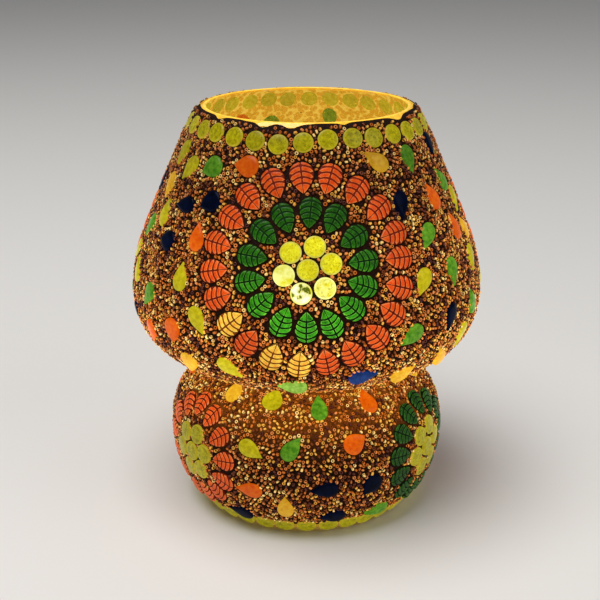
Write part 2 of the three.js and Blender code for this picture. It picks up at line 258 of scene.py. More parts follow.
def shader(name, colour, rough, metal=0.0, alpha=1.0, gloss=0.5):
    """A new material, its Principled shader and its node tree."""
    material = bpy.data.materials.new(name)
    material.use_nodes = True
    tree = material.node_tree
    surface = tree.nodes["Principled BSDF"]
    surface.inputs["Base Color"].default_value = linear(*colour)
    surface.inputs["Roughness"].default_value = rough
    surface.inputs["Metallic"].default_value = metal
    surface.inputs["Alpha"].default_value = alpha
    surface.inputs["Specular IOR Level"].default_value = gloss
    return material, surface, tree


def node(tree, kind, **values):
    """A new node with its properties or input values set."""
    made = tree.nodes.new(kind)
    for key, value in values.items():
        if hasattr(made, key):
            setattr(made, key, value)
        else:
            made.inputs[key.replace("_", " ")].default_value = value
    return made


def ramp(tree, number, stops):
    """A colour ramp of (place, RGBA) stops on a number."""
    made = tree.nodes.new("ShaderNodeValToRGB")
    elements = made.color_ramp.elements
    elements[0].position, elements[0].color = stops[0]
    elements[1].position, elements[1].color = stops[-1]
    for place, colour in stops[1:-1]:
        elements.new(place).color = colour
    tree.links.new(number, made.inputs["Fac"])
    return made.outputs["Color"]


def grey(value):
    return (value, value, value, 1)


def sample(tree, kind, output, **values):
    """An output of a new node that is fed the place in the object's space."""
    made = node(tree, kind, **values)
    place = tree.nodes.new("ShaderNodeTexCoord").outputs["Object"]
    tree.links.new(place, made.inputs["Vector"])
    return made.outputs[output]


def noise(tree, scale, detail=3.0, rough=0.5):
    return sample(tree, "ShaderNodeTexNoise", "Fac", Scale=scale, Detail=detail, Roughness=rough)


def darker(colour, share):
    return linear(*(c * share for c in colour))


def mottled(tree, scale, colour, share, stops=(0.3, 0.7)):
    """A colour mingled by a noise with a darker share of it."""
    low, high = stops
    return ramp(tree, noise(tree, scale), [(low, darker(colour, share)), (high, linear(*colour))])


def feed(tree, surface, **numbers):
    """Links numbers to the shader's inputs, which are named with _ for a space."""
    for name, number in numbers.items():
        tree.links.new(number, surface.inputs[name.replace("_", " ")])


def glow(surface, colour, strength):
    """Gives a shader an even glow."""
    surface.inputs["Emission Color"].default_value = linear(*colour)
    surface.inputs["Emission Strength"].default_value = strength


def times(tree, number, factor):
    """A number times a float or another socket's number."""
    made = node(tree, "ShaderNodeMath", operation="MULTIPLY")
    tree.links.new(number, made.inputs[0])
    if isinstance(factor, float):
        made.inputs[1].default_value = factor
    else:
        tree.links.new(factor, made.inputs[1])
    return made.outputs["Value"]


def bump(tree, surface, height, strength, distance):
    made = node(tree, "ShaderNodeBump", Strength=strength, Distance=distance * MM)
    tree.links.new(height, made.inputs["Height"])
    tree.links.new(made.outputs["Normal"], surface.inputs["Normal"])


def by_height(tree, stops, factor=1.0):
    """A number by height, through (height in mm, value) stops, times a factor."""
    low, high = stops[0][0], stops[-1][0]
    spread = node(tree, "ShaderNodeMapRange", From_Min=low * MM, From_Max=high * MM)
    tree.links.new(sample(tree, "ShaderNodeSeparateXYZ", "Z"), spread.inputs["Value"])
    top = max(value for _, value in stops)
    greys = [((h - low) / (high - low), grey(v / top)) for h, v in stops]
    return times(tree, ramp(tree, spread.outputs["Result"], greys), float(top * factor))


# How brightly the bulb lights the mosaic, by height.
GLOW = [
    (0, 0.6), (20, 0.72), (50, 0.78), (66, 0.95), (90, 0.9), (128, 1.0), (150, 0.95), (185, 0.8),
    (216, 0.8),
]
DROP_GLOW = [
    (0, 0.6), (20, 0.8), (50, 0.78), (66, 0.95), (84, 1.1), (98, 1.3), (112, 1.05), (150, 0.92),
    (185, 0.74), (200, 0.6), (216, 0.56),
]
LEAF_GLOW = [(100, 0.9), (128, 1.25), (140, 0.85), (160, 0.4), (172, 0.26), (190, 0.2)]
# Painted light on the lip by height: the glow of light led up the glass, and a painted highlight
# along its very top.
LIP_GLOW_AND_HIGHLIGHT = [(206, 0.5), (213, 0.56), (216.3, 0.62), (216.6, 1.1), (216.9, 1.2)]


BODY_SHARE, BEAD_SHARE = 0.2, 0.15  # a glass's own colour, as a share of its glow's colour
DRIFT_SCALE = 48  # the slow change of brightness from tile to tile


def lit_glass(name, colours, strength, scale=450, curve=GLOW, flecks=0.0, gloss=0.14,
              stops=(0.34, 0.64)):
    """Coloured glass lit from behind: colours mottle it at their stops, with dark flecks."""
    material, surface, tree = shader(name, colours[0], 0.24, gloss=gloss)
    mottle = noise(tree, scale, 4, 0.6)
    tone = ramp(tree, mottle, [(at, linear(*c)) for at, c in zip(stops, colours)])
    dim = ramp(tree, mottle, [(at, darker(c, BODY_SHARE)) for at, c in zip(stops, colours)])
    drift = ramp(tree, noise(tree, DRIFT_SCALE, 1), [(0.36, grey(0.8)), (0.6, grey(1))])
    power = times(tree, by_height(tree, curve, strength), drift)
    if flecks:
        spots = ramp(tree, noise(tree, scale * 2.2, 2), [(0.36, grey(1 - flecks)), (0.46, grey(1))])
        power = times(tree, power, spots)
    feed(tree, surface, Base_Color=dim, Emission_Color=tone, Emission_Strength=power)
    bump(tree, surface, noise(tree, scale * 1.6), 0.3, 0.2)
    return material


def bead_glass(name, colour, strength):
    """Seed bead glass in one tone; the beads' shapes and mix of tones give the variety."""
    material, surface, _ = shader(name, tuple(c * BEAD_SHARE for c in colour), 0.16, gloss=0.22)
    glow(surface, colour, strength)
    return material


HAZE_GLOW = [(46, 0.02), (58, 0.14), (66, 0.5), (76, 0.7), (86, 0.36), (98, 0.03), (216, 0.02)]


def grout(name):
    """Dark grout, with a brown haze where the bulb's light is caught under the shade."""
    material, surface, tree = shader(name, (26, 13, 9), 0.8, gloss=0.1)
    mottle = noise(tree, 900, 4)
    tone = ramp(tree, mottle, [(0.3, linear(8, 4, 4)), (0.75, linear(34, 16, 8))])
    haze = ramp(tree, mottle, [(0.3, linear(104, 48, 8)), (0.7, linear(164, 88, 20))])
    power = by_height(tree, HAZE_GLOW)
    feed(tree, surface, Base_Color=tone, Emission_Color=haze, Emission_Strength=power)
    bump(tree, surface, noise(tree, 1400, 5), 0.6, 0.3)
    return material


def adhesive(name):
    """The back of the mosaic, seen through the glass: lit beads in pale adhesive."""
    material, surface, tree = shader(name, (60, 40, 10), 0.5, gloss=0.1)
    tone = ramp(tree, sample(tree, "ShaderNodeTexVoronoi", "Distance", Scale=430), [
        (0.1, linear(184, 112, 26)), (0.26, linear(226, 170, 44)), (0.44, linear(196, 138, 30)),
        (0.58, linear(232, 184, 58)), (0.8, linear(242, 200, 78)),
    ])
    feed(tree, surface, Emission_Color=tone, Emission_Strength=by_height(tree, GLOW, 1.12))
    return material


def clear_glass(name, colour, alpha, strength, curve=None):
    """Clear glass with a faint wave, and a glow of its own where light leaves it."""
    material, surface, tree = shader(name, colour, 0.06, alpha=alpha)
    bump(tree, surface, noise(tree, 60, 2), 0.08, 1.0)
    glow(surface, colour, strength)
    if curve:
        tone = mottled(tree, 280, colour, 0.74, stops=(0.36, 0.56))
        power = by_height(tree, curve, strength)
        feed(tree, surface, Emission_Color=tone, Emission_Strength=power)
    return material


def metal(name, light, dark, rough):
    """Bare or plated metal, a little uneven."""
    material, surface, tree = shader(name, light, rough, metal=1.0)
    stops = [(0.3, linear(*dark)), (0.7, linear(*light))]
    feed(tree, surface, Base_Color=ramp(tree, noise(tree, 900), stops))
    bump(tree, surface, noise(tree, 1800), 0.12, 0.1)
    return material


def moulded(name, colour, rough):
    """Moulded plastic, rubber or porcelain with a fine grain."""
    material, surface, tree = shader(name, colour, rough)
    feed(tree, surface, Base_Color=mottled(tree, 1500, colour, 0.8))
    bump(tree, surface, noise(tree, 1500), 0.15, 0.1)
    return material


def vein(name, colour):
    """The dark line pressed into a leaf, faintly lit through."""
    material, surface, tree = shader(name, colour, 0.6, gloss=0.1)
    tone = mottled(tree, 900, colour, 0.6)
    feed(tree, surface, Base_Color=tone, Emission_Color=tone)
    surface.inputs["Emission Strength"].default_value = 0.75
    return material


WALL_GLASS = clear_glass("wall_glass", (222, 184, 90), 0.1, 0.03)
LIP_GLASS = clear_glass("lip_glass", (226, 178, 50), 0.9, 0.95, LIP_GLOW_AND_HIGHLIGHT)
FOOT_GLASS = clear_glass("foot_glass", (196, 160, 44), 0.8, 0.4)
GROUT = grout("dark_grout")
ADHESIVE = adhesive("lit_adhesive")
DISC_YELLOW = lit_glass("disc_yellow", [(220, 204, 10), (252, 246, 46)], 1.14, 520, flecks=0.36)
# Painted light: the next three are discs lit by the bulb behind them, brighter and paler; the second
# has the bulb's glare painted on it.
DISC_BRIGHT = lit_glass("disc_bright", [(230, 220, 34), (255, 252, 140)], 1.2, 380, flecks=0.35)
DISC_HOT = lit_glass("disc_hot", [(96, 106, 14), (240, 238, 120), (255, 255, 222)], 1.2, 230,
                     stops=(0.44, 0.48, 0.58))
DISC_BULB_LIT = lit_glass("disc_bulb_lit", [(226, 218, 36), (255, 254, 148)], 1.24, 230,
                      stops=(0.34, 0.54))
DISC_OLIVE = lit_glass("disc_olive", [(150, 138, 2), (200, 188, 12)], 1.0, 520, flecks=0.36)
# Painted highlights: a lighter glass for the discs' rims and sides.
DISC_RIM_HIGHLIGHT = lit_glass("disc_rim_highlight", [(222, 208, 50), (248, 238, 100)], 0.95)
OLIVE_RIM_HIGHLIGHT = lit_glass("olive_rim_highlight", [(176, 158, 20), (208, 188, 46)], 1.0)
# Each leaf's glass: its face, a lighter glass along the edges of its lobes that is a painted
# highlight, and its veins.
LEAF_ORANGE = [
    lit_glass("leaf_orange", [(222, 62, 6), (246, 98, 22)], 1.06, 520),
    lit_glass("orange_rim_highlight", [(232, 100, 36), (248, 144, 76)], 1.0, 520),
    vein("red_vein", (104, 20, 2)),
]
# Painted light: amber glass for orange leaves lit more brightly by the bulb, and its painted edge
# highlight.
LEAF_LIT_AMBER = [
    lit_glass("leaf_lit_amber", [(240, 146, 34), (254, 214, 76)], 1.2, 420),
    lit_glass("lit_amber_rim_highlight", [(250, 186, 56), (255, 228, 98)], 1.18),
    vein("brown_vein", (124, 58, 4)),
]
LEAF_GREEN = [
    lit_glass("leaf_green", [(20, 92, 6), (66, 170, 24)], 1.1, 460, LEAF_GLOW),
    lit_glass("green_rim_highlight", [(56, 146, 20), (124, 210, 56)], 1.05, 500, LEAF_GLOW),
    vein("green_vein", (2, 36, 2)),
]
BOWL_GREEN = [
    lit_glass("bowl_green", [(18, 62, 10), (46, 104, 24)], 0.66, 460),
    lit_glass("bowl_green_rim_highlight", [(44, 96, 26), (82, 136, 48)], 0.62, 460),
    vein("dark_green_vein", (4, 24, 2)),
]
DROP_TONES = {  # each drop's glass: dark and light of its mottle, brightness, and slot
    "orange": ((224, 80, 2), (246, 112, 12), 1.0, "orange_leaf_glass"),
    "amber": ((222, 156, 24), (246, 190, 44), 1.0, "amber_drop_glass"),
    "lime": ((182, 166, 8), (222, 206, 26), 0.92, "yellow_disc_glass"),
    "green": ((64, 130, 16), (120, 180, 40), 0.86, "green_leaf_glass"),
    "mint": ((116, 168, 44), (172, 214, 84), 0.86, "green_leaf_glass"),
    "blue": ((4, 36, 96), (16, 64, 136), 0.7, "blue_drop_glass"),
}
DROPS = {
    colour: (lit_glass(f"drop_{colour}", (dark, light), strength, curve=DROP_GLOW), slot)
    for colour, (dark, light, strength, slot) in DROP_TONES.items()
}
NAVY = lit_glass("drop_navy", [(2, 6, 20), (4, 16, 52)], 0.6, 260, gloss=0.04)
DROPS["navy"] = (NAVY, "blue_drop_glass")

# ---- glass and grout

WALL_STEPS = 120  # points up the outside, and as many down the inside
BARE_LIP = 213  # the height above which the glass is lit at its edge
WALL_LOOK, LIP_LOOK, FOOT_LOOK = 0, 1, 2
FOOT_START = 8  # the floor's point where the foot ring starts


def glass_shell():
    """The blown glass: shade, waist, bowl, floor and foot ring, with a fire-polished lip."""
    outer = skin.profile(0, skin.length, 0, WALL_STEPS)
    inner = skin.profile(skin.s_at(20), skin.s_at(213.4), -WALL, WALL_STEPS)[::-1]
    lip = [(53.0, 216.45), (52.5, 216.7), (51.9, 216.7), (51.4, 216.2)]
    floor = [
        (60.6, 13.6), (58.4, 11.6), (56, 11), (24, 11), (22.4, 10.6), (22, 9.5), (22.4, 8.4),
        (24, 8), (44, 8), (46.4, 7), (47.6, 4.4), (48, 2), (48.4, 0.4), (49, 0), (50.4, 0),
    ]
    profile = [*outer, *lip, *inner, *floor]
    foot_end, lip_start = ((outer[:, 1] > z).argmax() for z in (MOSAIC_FOOT, BARE_LIP))
    ends = [(FOOT_LOOK, foot_end), (WALL_LOOK, lip_start), (LIP_LOOK, WALL_STEPS + len(lip) - 1),
            (WALL_LOOK, WALL_STEPS * 2 + len(lip) + FOOT_START), (FOOT_LOOK, len(profile))]
    marks = [next(look for look, end in ends if i < end) for i in range(len(profile))]
    lathe("glass_shell", profile, [WALL_GLASS, LIP_GLASS, FOOT_GLASS], "blown_glass",
          ["glass_body"], 144, marks)


BED = (0.25, 0.95)  # lift of the grout bed's back and of its face
BED_TOP = 215.9
BED_SIZE, BED_STEPS = 216, 160  # points round the bed and up it
# Dips where the glass is left bare under the lip, and how deep they may go.
BARE_SPOTS = [
    (-22, 4, 2.4), (-8, 5, 3), (18, 3, 1.6), (52, 6, 2.6), (95, 4, 2), (141, 7, 3), (203, 5, 2.4),
    (262, 6, 2.8), (310, 4, 2),
]
BARE_MOST = 3.4


def dip(azimuth, dips):
    """The depth, at each azimuth, of dips listed as (azimuth, width in degrees, depth in mm)."""
    depth = np.zeros(np.shape(azimuth))
    for centre, width, deep in dips:
        away = (azimuth - centre + 180) % 360 - 180
        depth = depth + deep * np.exp(-((away / width) ** 2))
    return depth


def bed_edge(azimuth):
    """How far the grout's upper edge, spread by hand, falls short of the lip: 0 or less."""
    turn = np.radians(azimuth)
    wave = np.sin(3 * turn + 2.4) + 0.6 * np.sin(11 * turn) + 0.4 * np.sin(23 * turn + 2)
    return -np.clip(0.8 * np.clip(wave - 0.4, 0, None) + dip(azimuth, BARE_SPOTS), 0, BARE_MOST)


def grout_bed():
    """The grout between the tiles, from the foot's discs to the lip, with adhesive behind it."""
    low, high = skin.s_at(MOSAIC_FOOT), skin.s_at(BED_TOP)
    azimuth = np.arange(BED_SIZE) * 360 / BED_SIZE
    rings = []
    for lift, start, end in ((BED[1], 0, 1), (BED[0], 1, 0)):
        for way in np.linspace(start, end, BED_STEPS):
            s = low + (high - low) * way + bed_edge(azimuth) * max(0, way * 20 - 19)
            place, _, _, out = skin.frames(s, azimuth)
            rings.append(place + out * lift)
    form = stack(rings, loop=True, marks=[0] * (BED_STEPS - 1) + [1] * BED_STEPS + [0])
    make("grout_bed", form, [GROUT, ADHESIVE], "lamp", "dark_grout", ["neck_bead_band"])


# ---- tiles

TILE_FOOT, TILE_TOP, LEAF_DOME = 0.03, 2.2, 0.5


def face(top, dome):
    """A tile's rounded face from its edge in: parts of the outline, and the heights there."""
    side = top - dome
    curve = [(0.95, 0), (0.86, 0.45), (0.66, 0.8), (0.34, 0.97)]
    return [(0.985, side - 0.18), *((k, side + dome * rise) for k, rise in curve), (0.08, top)]


def cushion(outline, top=TILE_TOP, dome=0.35, edge=5):
    """A pressed tile, domed a little; its back and its lowest strips, edge of them, are marked 1,
    which on discs and leaves takes a painted edge highlight.
    """
    steps = [(0.97, TILE_FOOT), (1, 0.6), (1, top - dome - 0.45), *face(top, dome)]
    rings = [np.column_stack([outline * k, np.full(len(outline), h)]) for k, h in steps]
    return stack(rings, marks=[1] * edge + [0] * (len(steps) - 1 - edge))


def pod(length, width, widest, tip=1.0, size=15):
    """An outline with a point at -Y and a round end at +Y; widest is the widest place, 0 to 1."""
    t = (1 - np.cos(np.linspace(0, np.pi, size))) / 2
    ease = np.clip(t / widest, 0, 1)
    point = np.sin(np.pi / 2 * ease) ** tip
    round_end = np.sqrt(np.clip(1 - (np.clip(t - widest, 0, 1) / (1 - widest)) ** 2, 0, 1))
    half = width / 2 * np.where(t < widest, point, round_end)
    y = (t - 0.5) * length
    right = np.column_stack([half, y])[1:-1]
    left = right[::-1] * (-1, 1)
    return np.vstack([[0, -length / 2], right, [0, length / 2], left])


def outline_gap(points, outline):
    """Nearest places on an outline to points [x, y], and the distances, negative inside it."""
    start, end = outline, np.roll(outline, -1, 0)
    edge = end - start
    rel = points[:, None] - start[None]
    along = np.clip((rel * edge).sum(2) / (edge**2).sum(1), 0, 1)
    near = start + along[..., None] * edge
    reach = np.linalg.norm(points[:, None] - near, axis=2)
    nearest = near[np.arange(len(points)), reach.argmin(1)]
    turn = edge[:, 0] * rel[..., 1] - edge[:, 1] * rel[..., 0]
    inside = (turn > 0).all(1) | (turn < 0).all(1)
    return nearest, np.where(inside, -1, 1) * reach.min(1)


def leaf_height(outline, points):
    """The height of a leaf's face over points [x, y] within its outline."""
    at, bearing = (np.arctan2(p[:, 1], p[:, 0]) for p in (points, outline))
    reach = np.interp(at, bearing, np.linalg.norm(outline, axis=1), period=2 * np.pi)
    share = np.linalg.norm(points, axis=1) / reach
    return np.interp(share, *zip(*reversed(face(TILE_TOP, LEAF_DOME))))


LEAF_EDGE = 0.12  # from a lobe to the leaf's outline
VEIN_WIDTH, RIBS, RIB_PITCH = 0.84, 4, 2.75
RIB_DROP = 2.5  # how far a rib falls back from the midrib to the leaf's edge
FIRST_RIB = 1.9  # from the leaf's round end
LOBE = [(1, -0.6), (1, -0.06), (0.95, 0.08), (0.84, 0.17), (0.55, 0.24), (0.1, 0.26)]  # share, rise
LOBE_SIZE = 22  # points round a lobe
LOBE_REACH = np.linspace(0.1, 9, 90)  # how far from its middle they're sought


def lobe(outline, inside, centre):
    """A raised lobe of a leaf: inside says which points [x, y] it covers, seen from its centre."""
    way = circle(1, LOBE_SIZE, 0.5)
    reach = np.full(LOBE_SIZE, LOBE_REACH[0])
    open_ways = np.ones(LOBE_SIZE, bool)
    for step in LOBE_REACH:
        open_ways &= inside(centre + way * step)
        reach[open_ways] = step
    rings = []
    for share, rise in LOBE:
        flat = centre + way * reach[:, None] * share
        rings.append(np.column_stack([flat, leaf_height(outline, flat) + rise]))
    # The lowest three strips are marked 1, for the painted highlight along the lobe's edge.
    return stack(rings, marks=[1, 1, 1, 0, 0])


def leaf_lobes(outline):
    """The lobes between a leaf's midrib, its four curved ribs and its edge."""
    length, half = np.ptp(outline[:, 1]), np.ptp(outline[:, 0]) / 2
    lobes = []
    for band in range(RIBS + 1):
        crest = length / 2 - FIRST_RIB - band * RIB_PITCH
        half_midrib = VEIN_WIDTH / (2.4 if band < RIBS else 5)
        for side in (1, -1):

            def inside(points):
                x, y = points.T
                rise = y + RIB_DROP * (x / half) ** 2 - crest
                kept = outline_gap(points, outline)[1] < -LEAF_EDGE
                if band:
                    kept &= rise < RIB_PITCH - VEIN_WIDTH / 2
                if band < RIBS:
                    kept &= rise > VEIN_WIDTH / 2
                return kept & (x * side > half_midrib)

            x = side * half * (0.34 if band < RIBS else 0.2)
            middle = crest + (RIB_PITCH if band else 1.6) / 2 - RIB_DROP * (x / half) ** 2
            lobes.append(lobe(outline, inside, np.array((x, middle))))
    return lobes


def leaf_form(length, width):
    """A leaf's dark body, its lobes and its outline."""
    outline = pod(length, width, 0.64, 0.85)
    return cushion(outline * 0.98, TILE_TOP - 0.1, LEAF_DOME, 1), leaf_lobes(outline), outline


OUTER_LEAF = leaf_form(15.2, 11.8)
INNER_LEAF = leaf_form(15, 10.8)
BOWL_LEAF = leaf_form(14.2, 10.5)
DISC = circle(5.15)
DISC_FORM = cushion(DISC)
DROP_TOP, DROP_DOME = 2.55, 0.65
DROP_SHAPES = {"long": pod(14.4, 8.6, 0.66, 1.15), "broad": pod(12.6, 10.6, 0.62, 0.95)}
DROP_FORMS = {kind: cushion(outline, DROP_TOP, DROP_DOME) for kind, outline in DROP_SHAPES.items()}

# How far down the glass faces where tiles start to lean out, how much further counts, the lean
# that this gives in radians, and the mm of lift for each radian.
LEAN_START, LEAN_MOST, LEAN_SHARE, LEAN_LIFT = 0.4, 0.4, 0.95, 3.6
BEAD_RADIUS = 1.02
taken = []  # every tile's place, axes, outline and the room from it to the middle of a bead


def seat(s, azimuth, heading, outline, bare=0.0):
    """Origins and axes for tiles whose +Y points to heading, degrees from up towards around.

    Under an overhang a tile's lower edge is proud. bare is how much grout the beads leave round it.
    """
    place, around, up, out = skin.frames(s, azimuth)
    lean = np.clip(-out[:, 2:] - LEAN_START, 0, LEAN_MOST) * LEAN_SHARE
    up, out = up * np.cos(lean) - out * np.sin(lean), out * np.cos(lean) + up * np.sin(lean)
    place = place + out * lean * LEAN_LIFT
    turn = np.radians(np.broadcast_to(heading, np.shape(s)))[:, None]
    along = up * np.cos(turn) + around * np.sin(turn)
    across = around * np.cos(turn) - up * np.sin(turn)
    axes = np.stack([across, along, out], 1)
    taken.extend((place[i], axes[i], outline, BEAD_RADIUS + bare) for i in range(len(place)))
    return place, axes


def jitter(count, spread):
    return np.array([dice.uniform(-spread, spread) for _ in range(count)])


def ring_of_discs(name, height, count, lead, size, sag, replaced):
    """A row of discs from azimuth lead, laid by hand a little unevenly; sag lists its dips."""
    azimuth = lead + np.arange(count) * 360 / count + jitter(count, 0.5)
    s = skin.s_at(height) + jitter(count, 0.35) - dip(azimuth, sag)
    origin, axes = seat(s, azimuth, jitter(count, 180), DISC * size)
    batch = Batch()
    batch.stamp(DISC_FORM, origin, axes, size)
    batch.build(name, [DISC_OLIVE, OLIVE_RIM_HIGHLIGHT], "yellow_disc_glass", [replaced])


def towards(height, azimuth, s, turn):
    """The heading, at each place, that points away from the patch's centre."""
    centre = skin.frames([skin.s_at(height)], [azimuth])[0][0]
    place, around, up, _ = skin.frames(s, turn)
    away = place - centre
    return np.degrees(np.arctan2((away * around).sum(1), (away * up).sum(1)))


def disc_cluster(name, centre, radius, lead, materials, looks):
    """A medallion's discs, one in the middle and six round it. looks gives each one's materials."""
    angle = np.radians(lead + np.arange(6) * 60)
    x, y = (np.append(0, radius * part(angle)) + jitter(7, 0.3) for part in (np.sin, np.cos))
    s, turn = on_patch(*centre, x, y)
    origin, axes = seat(s, turn, jitter(7, 180), DISC)
    batch = Batch()
    for i, look in enumerate(looks):
        batch.stamp(DISC_FORM, origin[i], axes[i], look=look)
    batch.build(f"{name}_seven_discs", materials, "yellow_disc_glass", [f"{name}_discs"])


def leaf_ring(name, centre, ring, leaf, replaced, glass, slot, lit=(), bare=0.3):
    """Leaves that point to a medallion's centre, given as (height, azimuth).

    ring is their distance from the centre, their count and the bearing of the first.
    glass lists the face, the painted edge highlight and the veins, then the same for the leaves
    numbered in lit.
    """
    body, lobes, outline = leaf
    radius, count, lead = ring
    angle = np.radians(lead + np.arange(count) * 360 / count) + jitter(count, 0.02)
    reach = radius + jitter(count, 0.6)
    s, turn = on_patch(*centre, reach * np.sin(angle), reach * np.cos(angle))
    heading = towards(*centre, s, turn) + jitter(count, 4)
    origin, axes = seat(s, turn, heading, outline, bare)
    batch = Batch()
    for i in range(count):
        first = 3 if i in lit else 0
        batch.stamp(body, origin[i], axes[i], look=(first + 2, first + 1))
        for part in lobes:
            batch.stamp(part, origin[i], axes[i], look=(first, first + 1))
    batch.build(name, glass, slot, [replaced])


SHADE_HEIGHT, SHADE_AZIMUTHS = 153.8, (0, 120, 240)
BOWL_HEIGHT, BOWL_AZIMUTHS = 41, (60, 182, 305)
CLUSTER_GLASS = [DISC_YELLOW, DISC_RIM_HIGHLIGHT, DISC_BRIGHT, DISC_BULB_LIT, DISC_HOT]
# The glass of a disc's face and painted edge highlight, by number; the discs before the bulb have
# its light painted on them, brighter and paler, and one its glare.
PLAIN, BRIGHT, BULB_LIT, HOT = (0, 1), (2, 3), (3, 3), (4, 3)
CLUSTER_LOOKS = [PLAIN, PLAIN, PLAIN, BRIGHT, HOT, BULB_LIT, PLAIN]
LIT_LEAVES = (11, 12, 14)  # outer leaves on the same side, painted amber for the bulb's light on them


def medallions():
    """Three medallions round the shade, and three between them round the bowl."""
    for side, azimuth in enumerate(SHADE_AZIMUTHS, 1):
        name, centre = f"shade_medallion_{side}", (SHADE_HEIGHT, azimuth)
        disc_cluster(name, centre, 11.4, 16, CLUSTER_GLASS, CLUSTER_LOOKS)
        leaf_ring(f"{name}_green_leaves", centre, (26.2, 14, 2), INNER_LEAF, f"{name}_inner_leaves",
                  LEAF_GREEN, "green_leaf_glass", bare=0.8)
        leaf_ring(f"{name}_orange_leaves", centre, (43, 21, -3.6), OUTER_LEAF,
                  f"{name}_outer_leaves", LEAF_ORANGE + LEAF_LIT_AMBER, "orange_leaf_glass", LIT_LEAVES)
    for side, azimuth in enumerate(BOWL_AZIMUTHS, 1):
        name, centre = f"bowl_medallion_{side}", (BOWL_HEIGHT, azimuth)
        disc_cluster(name, centre, 10.9, 20, [DISC_OLIVE, OLIVE_RIM_HIGHLIGHT], [PLAIN] * 7)
        glass, colour = (BOWL_GREEN, "green") if side == 1 else (LEAF_ORANGE, "orange")
        leaf_ring(f"{name}_ring_leaves", centre, (23.6, 13, 0), BOWL_LEAF, f"{name}_leaves", glass,
                  f"{colour}_leaf_glass", bare=0.7)


# Each drop: azimuth, height, heading of its round end, colour, and its shape if it isn't long.
# These are round the front medallion, and again round the other two.
SHADE_NEAR = [
    (-26, 197, 90, "orange", "broad"), (30, 199, 130, "amber"), (33, 119, 60, "green"),
    (-35, 126, -30, "lime"), (-42, 101, 10, "amber", "broad"), (-25, 104, -50, "lime"),
    (-5, 96, 95, "mint"), (18, 101, -100, "blue"), (34, 98, -130, "amber"),
    (39, 143, 35, "lime"), (-44, 144, 180, "lime"), (37, 178, 10, "navy"),
    (-39, 179, 60, "navy", "broad"), (46, 162, 40, "green"), (-41, 163, 175, "orange"),
    (-43, 194, 60, "green", "broad"), (48, 197, 0, "green"),
]
# These are between it and the one to the right, and again at the back.
SHADE_RIGHT = [
    (70, 199, 10, "navy"), (56, 178, 160, "orange"), (69, 183, 150, "green"),
    (75.5, 171.5, 20, "lime"), (65, 161, 170, "orange"), (75, 157, 150, "amber"),
    (54, 143, 10, "green"), (71, 143, 20, "lime"), (66, 123, 160, "green"),
    (50, 122, 20, "navy"), (50, 101, 150, "amber"), (60, 108, 10, "lime"),
]
# These are between it and the one to the left.
SHADE_LEFT = [
    (-68, 196, 20, "lime"), (-57, 191, 30, "lime"), (-69, 180, 0, "amber"),
    (-64, 168, 180, "lime"), (-52, 175, 80, "navy"), (-56, 157, 90, "navy", "broad"),
    (-74, 158, 20, "green"), (-74, 136, 170, "lime"), (-60, 129, 30, "green"),
    (-46, 117, 0, "orange", "broad"), (-60, 110, 20, "orange"), (-76, 113, 60, "navy"),
]
BOWL_DROPS = [
    (-42, 74, 170, "amber"), (-18, 74, 190, "lime", "broad"), (6, 72, 180, "green"),
    (32, 72, 180, "orange"), (-23, 53, -65, "lime"), (-6, 56, -145, "green"),
    (20, 57, -120, "orange", "broad"), (-24, 31, 90, "orange"), (-9, 23, 180, "amber"),
    (7, 34, 85, "navy"), (27, 33, 40, "navy", "broad"), (11, 16, 90, "navy"),
    (33, 14.4, 80, "green"), (-31, 14, 100, "navy"),
]
DROP_ROOM = 12.8  # between the middles of a copied drop and any other tile


def drops(name, first, copies):
    """Drops laid as listed, then copies, as (drops, turn), where no tile is in the way."""
    laid = {}

    def lay(azimuth, height, heading, colour, kind="long"):
        place, axes = seat([skin.s_at(height)], [azimuth], heading, DROP_SHAPES[kind])
        laid.setdefault(colour, []).append((place, axes, kind))

    for drop in first:
        lay(*drop)
    for group, turn in copies:
        for azimuth, height, *rest in group:
            spot = skin.frames([skin.s_at(height)], [azimuth + turn])[0][0]
            if min(np.linalg.norm(spot - place) for place, *_ in taken) > DROP_ROOM:
                lay(azimuth + turn, height, *rest)
    for colour, rows in laid.items():
        batch = Batch()
        for place, axes, kind in rows:
            batch.stamp(DROP_FORMS[kind], place, axes, look=(0, 0))
        glass, slot = DROPS[colour]
        batch.build(f"{name}_{colour}_drops", [glass], slot)


# ---- seed beads

PITCH = 2.4  # how close the middles of two beads of size 1 may come
ROW = 2.1  # between the rows in which they're laid first
ROW_SCATTER, SIDE_SCATTER = 1.4, 1.3  # how far they're strewn from there, upwards and sideways
BEADS_FOOT, BEADS_EDGE = 12.2, 2.4  # the lowest beads' height, and the room below the grout's edge
OVERLAP = 1.42  # beads further under a tile than this are left out at the start
TILE_REACH = 10.8  # how far from a tile's middle beads are looked for
NEIGHBOURS, PUSH = 6, 0.42  # beads that push one, and the part of an overlap mended in a round
NEAR_TILE, NEAR_BEAD = 0.72, 0.62  # the part of their room below which beads are taken out
BIG_SHARE, BIG_SIZE = 0.06, 1.14
TONES = [  # seed bead glass, light to dark: colour, share of the beads, brightness
    ((244, 196, 112), 0.08, 1.1), ((232, 164, 62), 0.22, 1.0), ((222, 130, 62), 0.18, 0.96),
    ((200, 104, 28), 0.26, 0.9), ((134, 62, 18), 0.18, 0.7), ((100, 44, 34), 0.08, 0.62),
]
# Painted light and painted shade: a bead's faces are bright where they face out and dark where
# they sink in the grout, as lit and shaded copies of its glass: the least outward part of the
# normal, and the share of the light.
PAINTED_FACE_LIGHT = [(0.8, 1.25), (0.35, 0.52), (-1, 0.1)]
